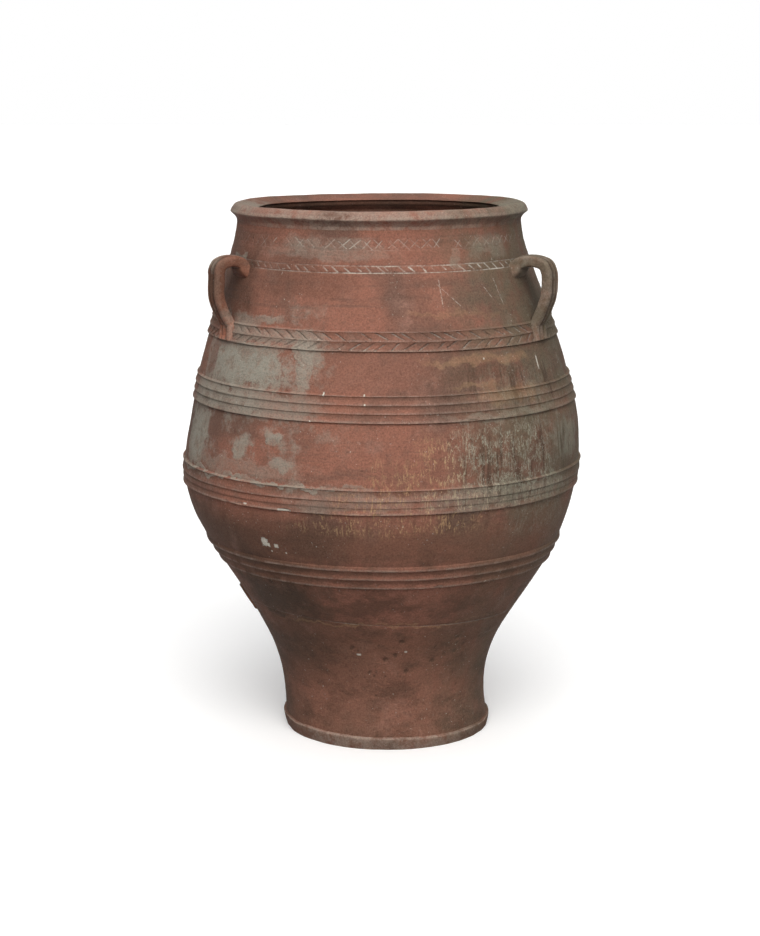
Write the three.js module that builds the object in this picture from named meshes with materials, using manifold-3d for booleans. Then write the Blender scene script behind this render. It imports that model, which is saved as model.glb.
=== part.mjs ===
// A large hand-built storage jar (pithos) of unglazed earthenware, in millimetres, +Z up.
// The origin is the centre of the base, on the ground. The front of the jar faces -Y.
//
// A potter builds such a jar in stages. A floor disc is laid down, and the wall is raised on it
// in ring-shaped sections, each left to stiffen before the next is added. Every seam between
// sections is then covered by an applied band of clay, a rim is coiled on top, and three strap
// handles and a lug are luted to the outside. Each of those pieces is its own solid here.
import * as THREE from "three";
import { mergeVertices } from "three/addons/utils/BufferGeometryUtils.js";
import Module from "manifold-3d";

const wasm = await Module();
wasm.setup();

// ---------------------------------------------------------------- driving dimensions
const wallThickness = 22;
const floorThickness = 18;
const slipGap = 0.3; // the film of slip between pieces that are luted together

// Heights of the wall's sections, from the floor up, and of the rim that is coiled on top.
const footSection = 236;
const hipSection = 104;
const lowerBellySection = 146;
const upperBellySection = 160;
const shoulderSection = 114;
const neckSection = 142; // up to the collar, between the two drawn bands
const collarSection = 48;
const rimHeight = 32; // from the collar's top edge to the rim's crest

// Outside of the wall: a drum-like foot, a waist, a round belly and a short neck.
const footFlare = 3; // how much the wall spreads from the waist down to the ground
const floorEdgeRadius = 190; // the floor disc, where it meets the ground
const waistRadius = 192;
const waistHeight = 70;
const bellyRadius = 372;
const bellyRise = 16; // the belly is widest this far above the middle band's seam
const neckRadius = 264;
const waistTension = 165; // lengths of the curve's handles, which set how slowly it turns
const bellyTensionBelow = 180;
const bellyTensionAbove = 163;
const neckTension = 49;
const neckLean = 3; // the neck leans in by this much, neckTension below its top

// Applied bands: strips of clay pressed on over the seams and then ribbed with the fingertips.
const bandBed = 2; // clay left under a groove
const ribDepth = 3.2; // how far a rib stands above its grooves
const lowerBandHeight = 45;
const middleBandHeight = 45;
const upperBandHeight = 47;
const chevronBandHeight = 34;
const footBandHeight = 24;
const footBandDepth = 3;
const footBandLift = 1.5; // the foot band stays clear of the ground

// Rim: a thick rolled lip that overhangs the wall inside and out, with its top sloping inwards.
const lipOverhang = 12; // the lip's edge beyond the neck's outside
const crestInset = 10; // from the lip's edge in to the crest
const lipDrop = 15; // from the crest down to the lip's edge
const rimWidth = 41; // from the crest in to the mouth's edge
const mouthDrop = 9; // from the crest down to the mouth's edge
const mouthRounding = 8;

// Handles: straps in the radial plane, one third of a turn apart.
const strapWidth = 36;
const strapThickness = 14;
const strapGroove = 2; // depth of the two grooves that run along its outer face
const handleDrop = 75; // from the collar's top edge down to where the strap leaves the wall
const handleLap = 27; // how much of the chevron band's height the strap's foot covers
const handleArch = 13; // how far the strap rises above where it leaves
const handleRoot = 12; // how deep an end runs into the wall before it is cut to fit
const handles = [
  { name: "handle_left", azimuth: -151, reach: 57 },
  { name: "handle_right", azimuth: -29, reach: 68 },
  { name: "handle_back", azimuth: 90, reach: 62 },
];

// Lug: a slab of clay low on the wall, a finger-hold for tipping the jar.
const lugAzimuth = 173;
const lugDrop = 38; // from the foot section's top edge down to the lug's underside
const lugHeight = 54;
const lugWidth = 72;
const lugDepth = 10; // how far it stands out at its fullest

// Fineness of the facets.
const turnSegments = 40;
const levelStep = 36; // spacing of the wall's levels
const strapSteps = 18;

// ---------------------------------------------------------------- heights above the ground
const hipSeam = floorThickness + footSection;
const lowerSeam = hipSeam + hipSection;
const middleSeam = lowerSeam + lowerBellySection;
const upperSeam = middleSeam + upperBellySection;
const shoulderSeam = upperSeam + shoulderSection;
const collarSeam = shoulderSeam + neckSection;
const neckHeight = collarSeam + collarSection;
const jarHeight = neckHeight + rimHeight;
const bellyHeight = middleSeam + bellyRise;
const chevronLow = shoulderSeam - chevronBandHeight / 2;
const chevronHigh = shoulderSeam + chevronBandHeight / 2;
const handleTop = neckHeight - handleDrop;
const handleFoot = chevronHigh - handleLap;
const lugFoot = hipSeam - lugDrop;

// ---------------------------------------------------------------- the wall's shape

// Points hold the radius in x and the height in y, as LatheGeometry wants.
const lowerCurve = new THREE.CubicBezierCurve(
  new THREE.Vector2(waistRadius, waistHeight),
  new THREE.Vector2(waistRadius, waistHeight + waistTension),
  new THREE.Vector2(bellyRadius, bellyHeight - bellyTensionBelow),
  new THREE.Vector2(bellyRadius, bellyHeight),
);
const upperCurve = new THREE.CubicBezierCurve(
  new THREE.Vector2(bellyRadius, bellyHeight),
  new THREE.Vector2(bellyRadius, bellyHeight + bellyTensionAbove),
  new THREE.Vector2(neckRadius - neckLean, neckHeight - neckTension),
  new THREE.Vector2(neckRadius, neckHeight),
);

// The radius of a rising curve at a height, found by halving.
function radiusOnCurve(curve, height) {
  let low = 0;
  let high = 1;
  for (let i = 0; i < 40; i++) {
    const middle = (low + high) / 2;
    if (curve.getPoint(middle).y < height) low = middle;
    else high = middle;
  }
  return curve.getPoint(low).x;
}

function curveRadius(height) {
  if (height < waistHeight) return waistRadius + footFlare * (1 - height / waistHeight) ** 2;
  return radiusOnCurve(height < bellyHeight ? lowerCurve : upperCurve, height);
}

// The wall is straight between evenly spaced levels, so that whatever sits on it can follow
// exactly the same facets.
const levelCount = Math.ceil(neckHeight / levelStep);
const levelHeights = Array.from({ length: levelCount + 1 }, (_, i) => (i * neckHeight) / levelCount);
const levelRadii = levelHeights.map(curveRadius);

function levelBelow(height) {
  const index = Math.floor((height / neckHeight) * levelCount);
  return THREE.MathUtils.clamp(index, 0, levelCount - 1);
}

function wallRadius(height) {
  const i = levelBelow(height);
  const share = (height - levelHeights[i]) / (levelHeights[i + 1] - levelHeights[i]);
  return THREE.MathUtils.lerp(levelRadii[i], levelRadii[i + 1], share);
}

// Measured across the wall, the clay is wallThickness thick, so it is wider along a level where
// the wall leans. The lean is taken over a long stretch, which keeps the inside smooth.
function innerRadius(height) {
  const low = Math.max(height - levelStep, 0);
  const high = Math.min(height + levelStep, neckHeight);
  const lean = (curveRadius(high) - curveRadius(low)) / (high - low);
  return wallRadius(height) - wallThickness * Math.hypot(1, lean);
}

// The heights that a strip from low to high has points at: its ends and the levels between.
function heightsBetween(low, high) {
  const clear = 1; // leaves out a level that is almost at an end
  const between = levelHeights.filter((h) => h > low + clear && h < high - clear);
  return [low, ...between, high];
}

// ---------------------------------------------------------------- helpers
function revolve(outline) {
  const closed = [...outline, outline[0]];
  return new THREE.LatheGeometry(closed, turnSegments).rotateX(Math.PI / 2);
}

function revolveFromAxis(outline) {
  return new THREE.LatheGeometry(outline, turnSegments).rotateX(Math.PI / 2);
}

function clay(colour, roughness) {
  return new THREE.MeshStandardMaterial({ color: colour, roughness, metalness: 0 });
}

const materials = {
  wall: clay(0x8a5a4b, 0.85),
  band: clay(0x8f6152, 0.85),
  rim: clay(0x93705f, 0.88),
  handle: clay(0x8f6455, 0.85),
  base: clay(0x74503f, 0.9),
};

const jar = new THREE.Group();

function addPiece(name, geometry, material) {
  const mesh = new THREE.Mesh(geometry, material);
  mesh.name = name;
  jar.add(mesh);
  return mesh;
}

function toSolid(geometry) {
  const bare = geometry.clone();
  bare.deleteAttribute("normal");
  bare.deleteAttribute("uv");
  const merged = mergeVertices(bare, 1e-3);
  return new wasm.Manifold(
    new wasm.Mesh({
      numProp: 3,
      vertProperties: merged.attributes.position.array,
      triVerts: new Uint32Array(merged.index.array),
    }),
  );
}

function toGeometry(solid) {
  const mesh = solid.getMesh();
  const geometry = new THREE.BufferGeometry();
  geometry.setAttribute("position", new THREE.BufferAttribute(mesh.vertProperties, 3));
  geometry.setIndex(new THREE.BufferAttribute(mesh.triVerts, 1));
  return geometry.toNonIndexed();
}

// ---------------------------------------------------------------- floor and wall
function floorDisc() {
  const outline = [
    new THREE.Vector2(0, 0),
    new THREE.Vector2(floorEdgeRadius, 0),
    new THREE.Vector2(wallRadius(floorThickness), floorThickness),
    new THREE.Vector2(0, floorThickness),
  ];
  return revolveFromAxis(outline);
}

function wallSection(low, high) {
  const heights = heightsBetween(low, high);
  const outside = heights.map((h) => new THREE.Vector2(wallRadius(h), h));
  const inside = heights.map((h) => new THREE.Vector2(innerRadius(h), h)).reverse();
  return revolve([...outside, ...inside]);
}

const sections = [
  { name: "foot_wall", low: floorThickness, high: hipSeam },
  { name: "hip_wall", low: hipSeam, high: lowerSeam },
  { name: "belly_wall_lower", low: lowerSeam, high: middleSeam },
  { name: "belly_wall_upper", low: middleSeam, high: upperSeam },
  { name: "shoulder_wall", low: upperSeam, high: shoulderSeam },
  { name: "neck_wall", low: shoulderSeam, high: collarSeam },
  { name: "collar_wall", low: collarSeam, high: neckHeight },
];
addPiece("floor_disc", floorDisc(), materials.base);
for (const { name, low, high } of sections) {
  addPiece(name, wallSection(low, high), materials.wall);
}

// ---------------------------------------------------------------- applied bands
// A band lies on the wall from low to high. Its outside is a row of equal ribs.
function ribbedBand(low, high, ribCount) {
  const back = heightsBetween(low, high).map((h) => new THREE.Vector2(wallRadius(h) + slipGap, h));
  const face = [];
  const ribHeight = (high - low) / ribCount;
  const ribShape = [
    { across: 0.12, rise: 0.2 },
    { across: 0.5, rise: 1 },
    { across: 0.88, rise: 0.2 },
  ];
  for (let rib = 0; rib < ribCount; rib++) {
    for (const { across, rise } of ribShape) {
      const height = low + (rib + across) * ribHeight;
      const radius = wallRadius(height) + slipGap + bandBed + ribDepth * rise;
      face.push(new THREE.Vector2(radius, height));
    }
  }
  return revolve([...face, ...back.reverse()]);
}

const bands = [
  { name: "lower_band", seam: lowerSeam, height: lowerBandHeight, ribs: 3 },
  { name: "middle_band", seam: middleSeam, height: middleBandHeight, ribs: 3 },
  { name: "upper_band", seam: upperSeam, height: upperBandHeight, ribs: 3 },
  { name: "chevron_band", seam: shoulderSeam, height: chevronBandHeight, ribs: 2 },
];
for (const { name, seam, height, ribs } of bands) {
  addPiece(name, ribbedBand(seam - height / 2, seam + height / 2, ribs), materials.band);
}

// The foot band wraps the edge of the floor disc and the seam above it.
function footBand() {
  const low = footBandLift;
  const high = footBandHeight;
  const discEdge = (h) =>
    THREE.MathUtils.mapLinear(h, 0, floorThickness, floorEdgeRadius, wallRadius(floorThickness));
  const seat = (h) => (h < floorThickness ? discEdge(h) : wallRadius(h)) + slipGap;
  const edge = 1; // the band's thickness at its top and bottom edges
  const back = [low, floorThickness, high].map((h) => new THREE.Vector2(seat(h), h));
  const faceSteps = 6;
  const face = Array.from({ length: faceSteps + 1 }, (_, i) => {
    const height = THREE.MathUtils.lerp(low, high, i / faceSteps);
    const bulge = footBandDepth * Math.sin((Math.PI * i) / faceSteps);
    return new THREE.Vector2(seat(height) + edge + bulge, height);
  });
  return revolve([...face, ...back.reverse()]);
}
addPiece("foot_band", footBand(), materials.base);

// ---------------------------------------------------------------- rim
function rim() {
  const outside = neckRadius;
  const inside = innerRadius(neckHeight);
  const lipRadius = outside + lipOverhang;
  const crestRadius = lipRadius - crestInset;
  const mouthRadius = crestRadius - rimWidth;
  const mouthHeight = jarHeight - mouthDrop;
  const lipHeight = jarHeight - lipDrop;
  const outline = [
    new THREE.Vector2(outside, neckHeight),
    new THREE.Vector2(outside + lipOverhang * 0.35, neckHeight + (lipHeight - neckHeight) * 0.55),
    new THREE.Vector2(lipRadius, lipHeight),
    new THREE.Vector2(lipRadius - crestInset * 0.35, lipHeight + lipDrop * 0.62),
    new THREE.Vector2(crestRadius, jarHeight),
    new THREE.Vector2(crestRadius - rimWidth * 0.25, jarHeight - mouthDrop * 0.12),
    new THREE.Vector2(mouthRadius + mouthRounding, mouthHeight + mouthDrop * 0.1),
    new THREE.Vector2(mouthRadius + mouthRounding * 0.2, mouthHeight - mouthRounding * 0.35),
    new THREE.Vector2(mouthRadius, mouthHeight - mouthRounding),
    new THREE.Vector2(mouthRadius + mouthRounding * 0.4, mouthHeight - mouthRounding * 1.7),
    new THREE.Vector2(inside, neckHeight),
  ];
  return revolve(outline);
}
addPiece("rim", rim(), materials.rim);

// ---------------------------------------------------------------- handles and lug
// Everything inside the jar's outer surface, with the band and the slip added: what is luted to
// the outside is cut by this, so that it ends on that surface.
function outerEnvelope() {
  const bandFace = slipGap + bandBed + ribDepth;
  const allowance = (h) => (h >= chevronLow && h <= chevronHigh ? bandFace + slipGap : slipGap);
  const step = 0.5; // turns each edge of the band into a steep slope, outside the band itself
  const heights = [
    ...heightsBetween(0, chevronLow - step),
    ...heightsBetween(chevronLow, chevronHigh),
    ...heightsBetween(chevronHigh + step, neckHeight),
  ];
  const side = heights.map((h) => new THREE.Vector2(wallRadius(h) + allowance(h), h));
  return revolveFromAxis([new THREE.Vector2(0, 0), ...side, new THREE.Vector2(0, neckHeight)]);
}
const envelope = toSolid(outerEnvelope());

// A handle or lug is drawn with the jar's axis at x = 0 and the wall to the left of it, so the
// envelope is turned back by its azimuth before it cuts.
function fitToJar(geometry, azimuth) {
  const cutter = envelope.rotate([0, 0, -azimuth]);
  const pieces = toSolid(geometry).subtract(cutter).decompose();
  const outermost = pieces.sort((a, b) => b.volume() - a.volume())[0];
  return toGeometry(outermost);
}

// The strap's section: x runs across it and y points to the inside of its bend. Two grooves
// divide its outer face into three ribs.
function strapSection() {
  const half = strapWidth / 2;
  const depth = strapThickness / 2;
  const corner = 4;
  const groove = strapWidth / 6;
  const grooveHalf = 2.5;
  return new THREE.Shape([
    new THREE.Vector2(-half, -depth + corner),
    new THREE.Vector2(-half + corner, -depth),
    new THREE.Vector2(-groove - grooveHalf, -depth),
    new THREE.Vector2(-groove, -depth + strapGroove),
    new THREE.Vector2(-groove + grooveHalf, -depth),
    new THREE.Vector2(groove - grooveHalf, -depth),
    new THREE.Vector2(groove, -depth + strapGroove),
    new THREE.Vector2(groove + grooveHalf, -depth),
    new THREE.Vector2(half - corner, -depth),
    new THREE.Vector2(half, -depth + corner),
    new THREE.Vector2(half - corner / 2, depth),
    new THREE.Vector2(-half + corner / 2, depth),
  ]);
}

// The strap's centre line leaves the wall level, arches over, hangs down and comes back along
// the wall.
function strapPath(reach) {
  const span = handleTop - handleFoot;
  const half = strapThickness / 2;
  const shoulderHeight = handleTop - span * 0.16;
  const hangHeight = handleTop - span * 0.5;
  const outer = wallRadius(shoulderHeight) + reach - half;
  const at = (radius, height) => new THREE.Vector3(radius, 0, height);
  return new THREE.CatmullRomCurve3([
    at(wallRadius(handleTop) - handleRoot, handleTop - 2),
    at(wallRadius(handleTop) + reach * 0.22, handleTop + handleArch * 0.6),
    at(wallRadius(handleTop) + reach * 0.62, handleTop + handleArch * 0.9),
    at(outer, shoulderHeight),
    at(wallRadius(hangHeight) + reach * 0.5, hangHeight),
    at(wallRadius(handleFoot + span * 0.22) + half * 1.5, handleFoot + span * 0.22),
    at(wallRadius(handleFoot) + half * 0.6, handleFoot),
  ]);
}

function strap(reach) {
  return new THREE.ExtrudeGeometry(strapSection(), {
    steps: strapSteps,
    extrudePath: strapPath(reach),
  });
}

for (const { name, azimuth, reach } of handles) {
  const handle = addPiece(name, fitToJar(strap(reach), azimuth), materials.handle);
  handle.rotation.z = THREE.MathUtils.degToRad(azimuth);
}

// The lug's outline in the radial plane, drawn out across its width.
function lug() {
  const top = lugFoot + lugHeight;
  const face = [
    { up: 0, proud: 0.8 },
    { up: 0.3, proud: 1 },
    { up: 0.8, proud: 0.8 },
    { up: 1, proud: 0.4 },
  ];
  const outline = new THREE.Shape();
  outline.moveTo(wallRadius(lugFoot) - wallThickness / 2, lugFoot);
  for (const { up, proud } of face) {
    const height = lugFoot + up * lugHeight;
    outline.lineTo(wallRadius(height) + proud * lugDepth, height);
  }
  outline.lineTo(wallRadius(top) - wallThickness / 2, top);
  outline.closePath();
  return new THREE.ExtrudeGeometry(outline, { depth: lugWidth, bevelEnabled: false })
    .translate(0, 0, -lugWidth / 2)
    .rotateX(Math.PI / 2);
}
const lugPiece = addPiece("tipping_lug", fitToJar(lug(), lugAzimuth), materials.handle);
lugPiece.rotation.z = THREE.MathUtils.degToRad(lugAzimuth);

export default jar;
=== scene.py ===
# %% [markdown]
# # A weathered earthenware storage jar
#
# The jar was built by hand: rings of clay were raised one on another, the seams were hidden under
# applied bands, a rim was coiled on top, and strap handles were pressed on while the clay was soft.
# Then it stood outdoors for a very long time. This lesson models each of those pieces as a mesh of
# its own, from curves and noise, and then builds one layered clay finish that runs over them all.
#
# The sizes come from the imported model, which is loaded first and never changed.

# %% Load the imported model
import math

import bpy
import numpy as np
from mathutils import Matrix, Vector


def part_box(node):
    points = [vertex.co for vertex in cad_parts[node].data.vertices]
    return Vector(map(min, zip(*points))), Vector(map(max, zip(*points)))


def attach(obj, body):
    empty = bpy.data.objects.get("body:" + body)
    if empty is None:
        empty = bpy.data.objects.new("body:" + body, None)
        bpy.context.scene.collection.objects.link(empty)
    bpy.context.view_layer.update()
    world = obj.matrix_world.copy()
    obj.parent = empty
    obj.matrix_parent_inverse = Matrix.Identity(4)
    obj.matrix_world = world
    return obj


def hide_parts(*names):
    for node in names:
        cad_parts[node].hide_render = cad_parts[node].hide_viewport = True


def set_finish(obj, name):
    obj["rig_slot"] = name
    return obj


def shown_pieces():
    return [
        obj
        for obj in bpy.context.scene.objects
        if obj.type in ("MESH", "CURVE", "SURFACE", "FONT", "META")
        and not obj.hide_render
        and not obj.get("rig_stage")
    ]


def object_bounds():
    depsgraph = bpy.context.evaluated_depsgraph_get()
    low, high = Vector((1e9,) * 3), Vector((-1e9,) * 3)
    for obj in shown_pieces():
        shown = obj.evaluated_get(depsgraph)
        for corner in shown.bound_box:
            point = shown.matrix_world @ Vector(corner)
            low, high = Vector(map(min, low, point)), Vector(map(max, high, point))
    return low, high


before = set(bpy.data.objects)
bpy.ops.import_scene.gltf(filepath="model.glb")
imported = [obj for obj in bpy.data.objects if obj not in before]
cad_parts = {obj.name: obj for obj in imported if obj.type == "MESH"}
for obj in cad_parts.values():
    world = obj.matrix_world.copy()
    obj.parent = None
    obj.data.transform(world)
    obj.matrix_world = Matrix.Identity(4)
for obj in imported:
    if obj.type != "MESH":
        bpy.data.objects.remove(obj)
cad_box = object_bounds()
print("packed nodes:", ", ".join(sorted(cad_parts)))
print("packed size in metres:", [round(b - a, 4) for a, b in zip(*cad_box)])

MM = 0.001

# %% [markdown]
# ## The camera and the lights
#
# A long lens from a little above the rim keeps the rings of the jar as shallow ellipses. The key
# light is a broad sun, high and slightly to the left, because a sun lights the whole floor evenly.
# The floor is seen by the camera and catches the shadow, but it is hidden from diffuse rays, so
# that it throws no light up under the belly. The backdrop is a ring that only the camera sees.

# %% Camera
LENS = 82.69  # mm, on a 36 mm sensor
CAMERA_DISTANCE = 4.017
CAMERA_HEIGHT = 1.255
CAMERA_DIP = math.radians(10.7)

lens = bpy.data.cameras.new("camera")
lens.lens = LENS
camera = bpy.data.objects.new("camera", lens)
camera.location = (0, -CAMERA_DISTANCE, CAMERA_HEIGHT)
camera.rotation_euler = (math.pi / 2 - CAMERA_DIP, 0, 0)
bpy.context.collection.objects.link(camera)
bpy.context.scene.camera = camera
bpy.context.scene.view_settings.view_transform = "Standard"
print("camera at", tuple(round(v, 3) for v in camera.location))


# %% Lights
def sun(name, strength, azimuth, elevation, spread, colour=(1, 1, 1)):
    """A sun shining from an azimuth (degrees right of the camera) and an elevation."""
    light = bpy.data.lights.new(name, "SUN")
    light.energy = strength
    light.angle = math.radians(spread)
    light.color = colour
    lamp = bpy.data.objects.new(name, light)
    lamp.rotation_euler = (math.radians(90 - elevation), 0, math.radians(azimuth))
    bpy.context.collection.objects.link(lamp)
    return lamp


sun("key_light", 3.0, 4, 38, 50, (1, 0.985, 0.96))
sun("top_light", 1.0, 0, 75, 60)
sun("back_light", 0.5, 180, 30, 90)

world = bpy.data.worlds.new("dim_room")
world.use_nodes = True
world.node_tree.nodes["Background"].inputs["Color"].default_value = (0.2, 0.2, 0.205, 1)
bpy.context.scene.world = world


# %% Floor and backdrop
def plain_material(name, colour, glow=0.0):
    material = bpy.data.materials.new(name)
    material.use_nodes = True
    shader = material.node_tree.nodes["Principled BSDF"]
    shader.inputs["Base Color"].default_value = (*colour, 1)
    shader.inputs["Roughness"].default_value = 1
    shader.inputs["Specular IOR Level"].default_value = 0
    shader.inputs["Emission Color"].default_value = (1, 1, 1, 1)
    shader.inputs["Emission Strength"].default_value = glow
    return material


def stage_piece(name, vertices, faces, material):
    mesh = bpy.data.meshes.new(name)
    mesh.from_pydata(vertices, [], faces)
    mesh.materials.append(material)
    piece = bpy.data.objects.new(name, mesh)
    bpy.context.collection.objects.link(piece)
    piece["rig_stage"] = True
    return piece


STAGE_RADIUS = 40
STAGE_SIDES = 64
turns = [2 * math.pi * i / STAGE_SIDES for i in range(STAGE_SIDES)]
edge = [(STAGE_RADIUS * math.cos(t), STAGE_RADIUS * math.sin(t)) for t in turns]
floor = stage_piece(
    "floor",
    [(x, y, 0) for x, y in edge],
    [tuple(range(STAGE_SIDES))],
    plain_material("pale_floor", (0.93, 0.93, 0.93), glow=0.15),
)
floor.visible_diffuse = False
backdrop = stage_piece(
    "backdrop",
    [(x, y, z) for z in (0, STAGE_RADIUS) for x, y in edge],
    [
        (i, (i + 1) % STAGE_SIDES, (i + 1) % STAGE_SIDES + STAGE_SIDES, i + STAGE_SIDES)
        for i in range(STAGE_SIDES)
    ],
    plain_material("white_backdrop", (0, 0, 0), glow=1.0),
)
backdrop.visible_diffuse = False
backdrop.visible_glossy = False
backdrop.visible_shadow = False
print("stage is", 2 * STAGE_RADIUS, "m across")

# %% [markdown]
# ## Reading the wall's outline
#
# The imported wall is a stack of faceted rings. At each height the corners furthest from the axis
# lie on the outside of the wall, and the nearest ones on the inside. A natural cubic spline through
# them gives back the smooth curve that the potter's hands would follow. The corners at the seams
# are left out, because they lie on straight facets between two points of the curve.

# %% Outline of the wall
WALL_NODES = [
    "foot_wall",
    "hip_wall",
    "belly_wall_lower",
    "belly_wall_upper",
    "shoulder_wall",
    "neck_wall",
    "collar_wall",
]


def corners(node):
    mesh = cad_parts[node].data
    flat = np.empty(len(mesh.vertices) * 3)
    mesh.vertices.foreach_get("co", flat)
    return flat.reshape(-1, 3)


def spline(xs, ys):
    """A natural cubic spline through points, as a function."""
    count, gap = len(xs), np.diff(xs)
    system, target = np.eye(count), np.zeros(count)
    for i in range(1, count - 1):
        system[i, i - 1 : i + 2] = gap[i - 1], 2 * (gap[i - 1] + gap[i]), gap[i]
        target[i] = 6 * ((ys[i + 1] - ys[i]) / gap[i] - (ys[i] - ys[i - 1]) / gap[i - 1])
    bend = np.linalg.solve(system, target)

    def curve(x):
        i = np.clip(np.searchsorted(xs, x) - 1, 0, count - 2)
        a, b = (xs[i + 1] - x) / gap[i], (x - xs[i]) / gap[i]
        sag = ((a**3 - a) * bend[i] + (b**3 - b) * bend[i + 1]) * gap[i] ** 2 / 6
        return a * ys[i] + b * ys[i + 1] + sag

    return curve


def wall_curves():
    seams = [round(c.z, 4) for node in WALL_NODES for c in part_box(node)][1:-1]
    points = np.vstack([corners(node) for node in WALL_NODES])
    heights = np.round(points[:, 2], 4)
    radii = np.hypot(points[:, 0], points[:, 1])
    levels = [h for h in np.unique(heights) if h not in seams]
    outer = [radii[heights == h].max() for h in levels]
    inner = [radii[heights == h].min() for h in levels]
    return spline(np.array(levels), np.array(outer)), spline(np.array(levels), np.array(inner))


outside, inside = wall_curves()
JAR_HEIGHT = cad_box[1].z
HIP_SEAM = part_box("hip_wall")[0].z
LOWER_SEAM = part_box("belly_wall_lower")[0].z
MIDDLE_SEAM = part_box("belly_wall_upper")[0].z
UPPER_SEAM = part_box("shoulder_wall")[0].z
SHOULDER_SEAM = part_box("neck_wall")[0].z
NECK_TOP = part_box("collar_wall")[1].z
print("belly radius", round(float(outside(MIDDLE_SEAM)), 4), "at", round(MIDDLE_SEAM, 3))

# %% [markdown]
# ## Noise
#
# Nothing on a hand-made jar is exactly round or smooth. Gradient noise gives every point of space
# a smoothly changing value, and because it depends only on the place, two pieces that meet get the
# same lumps. The shuffle is seeded, so the jar comes out the same every time.

# %% Gradient noise
SEED = 7


class Noise:
    """Smooth noise between about -1 and 1, at any points in space."""

    def __init__(self, seed):
        random = np.random.default_rng(seed)
        self.shuffle = np.tile(random.permutation(256), 2)
        slopes = random.normal(size=(256, 3))
        self.slopes = slopes / np.linalg.norm(slopes, axis=1, keepdims=True)

    def __call__(self, x, y, z):
        point = np.stack(np.broadcast_arrays(x, y, z), axis=-1)
        cell = np.floor(point).astype(int)
        part = point - cell
        fade = part**3 * (part * (part * 6 - 15) + 10)
        total = 0
        for corner in np.ndindex(2, 2, 2):
            index = self.shuffle[(cell[..., 0] + corner[0]) & 255]
            index = self.shuffle[(index + cell[..., 1] + corner[1]) & 255]
            index = self.shuffle[(index + cell[..., 2] + corner[2]) & 255]
            slope = np.sum(self.slopes[index] * (part - corner), axis=-1)
            weight = np.prod(np.where(corner, fade, 1 - fade), axis=-1)
            total = total + weight * slope
        return 1.6 * total


noise = Noise(SEED)


def on_cylinder(azimuth, height, across, up, radius=0.3):
    """Noise on the jar's skin, with features of the given width and height in metres."""
    x = np.sin(azimuth) * radius / across
    y = -np.cos(azimuth) * radius / across
    return noise(x, y, height / up)


print("noise sample:", round(float(noise(0.3, 0.4, 0.5)), 4))

# %% [markdown]
# ## Small shaping tools
#
# A few functions cover most of the modelling: a smooth step, a groove drawn along a line, and a
# list of heights that is close together where the detail is fine and wide apart elsewhere.


# %% Shaping tools
def smooth_step(low, high, value):
    share = np.clip((value - low) / (high - low), 0, 1)
    return share * share * (3 - 2 * share)


def bell(distance, width):
    """1 on a line and falling away on both sides, with half its height at the width."""
    return np.exp(-np.log(2) * (distance / width) ** 2)


def heights_between(low, high, step, fine_step=None, fine_zones=()):
    """Heights from low to high, closer together inside the fine zones."""
    heights = [low]
    while heights[-1] < high - 0.6 * (fine_step or step):
        here = heights[-1]
        fine = any(a <= here <= b for a, b in fine_zones)
        jump = fine_step if fine else step
        ahead = [a - here for a, b in fine_zones if a > here + 1e-6]
        heights.append(here + min([jump, high - here, *[g for g in ahead if g > 0.2 * jump]]))
    heights[-1] = high
    return np.array(heights)


TURN_STEPS = 840
TURN = np.linspace(0, 2 * np.pi, TURN_STEPS, endpoint=False)[None, :]
FINE_TURN_STEPS = 1500  # for the pieces that carry drawing
FINE_TURN = np.linspace(0, 2 * np.pi, FINE_TURN_STEPS, endpoint=False)[None, :]
print("one step round the belly is", round(2 * math.pi * 0.37 / TURN_STEPS * 1000, 2), "mm")

# %% [markdown]
# ## How the jar departs from true
#
# The whole jar leans and sways a little, its mouth is slightly oval, and its rim isn't level. That
# belongs to the jar as a whole, so it is one function that moves finished points, and every piece
# is passed through it last. The pieces then stay together exactly.

# %% Sway, oval and tilt
SWAY_HEIGHTS = np.array([0, 0.05, 0.16, 0.27, 0.34, 0.42, 0.48, 0.54, 0.6, 0.67, 0.82, 0.9, 1.02])
SWAY = spline(SWAY_HEIGHTS, np.array([14, 10, 6, 8.5, 8, 2, 1, 4, 8, 7, 2.5, -1.5, -1]) * MM)
OVAL = 0.004
OVAL_TURN = math.radians(35)
RIM_TILT = 0.004


def out_of_true(x, y, z):
    azimuth = np.arctan2(x, -y)
    squash = 1 + OVAL * np.cos(2 * (azimuth - OVAL_TURN)) * smooth_step(0.05, 0.5, z)
    tilt = RIM_TILT * x * smooth_step(0.85, 1.0, z)
    return x * squash + SWAY(np.clip(z, 0, 1.02)), y * squash, z + tilt


# %% Relief of the wall
def lumps(azimuth, height):
    """The slow unevenness that hands leave, in metres outwards."""
    broad = on_cylinder(azimuth, height, 0.16, 0.09) * 1.1 * MM
    return broad + on_cylinder(azimuth, height + 3, 0.07, 0.035) * 0.5 * MM


def wiping(azimuth, height):
    """Long shallow strokes left by a wet hand or cloth going round."""
    return on_cylinder(azimuth, height + 7, 0.3, 0.010) * 0.28 * MM


def wall_skin(azimuth, height):
    return outside(height) + lumps(azimuth, height)


# %% [markdown]
# ## From rows of points to a mesh
#
# Almost every piece is a ring: a closed outline carried round the axis. If each row holds the same
# number of points, the faces are just a grid that joins up with itself in both directions, which
# numpy can number all at once. Each vertex also carries two numbers for the finish: how much it
# stands on a ridge, and how much it lies in a cut.


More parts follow.
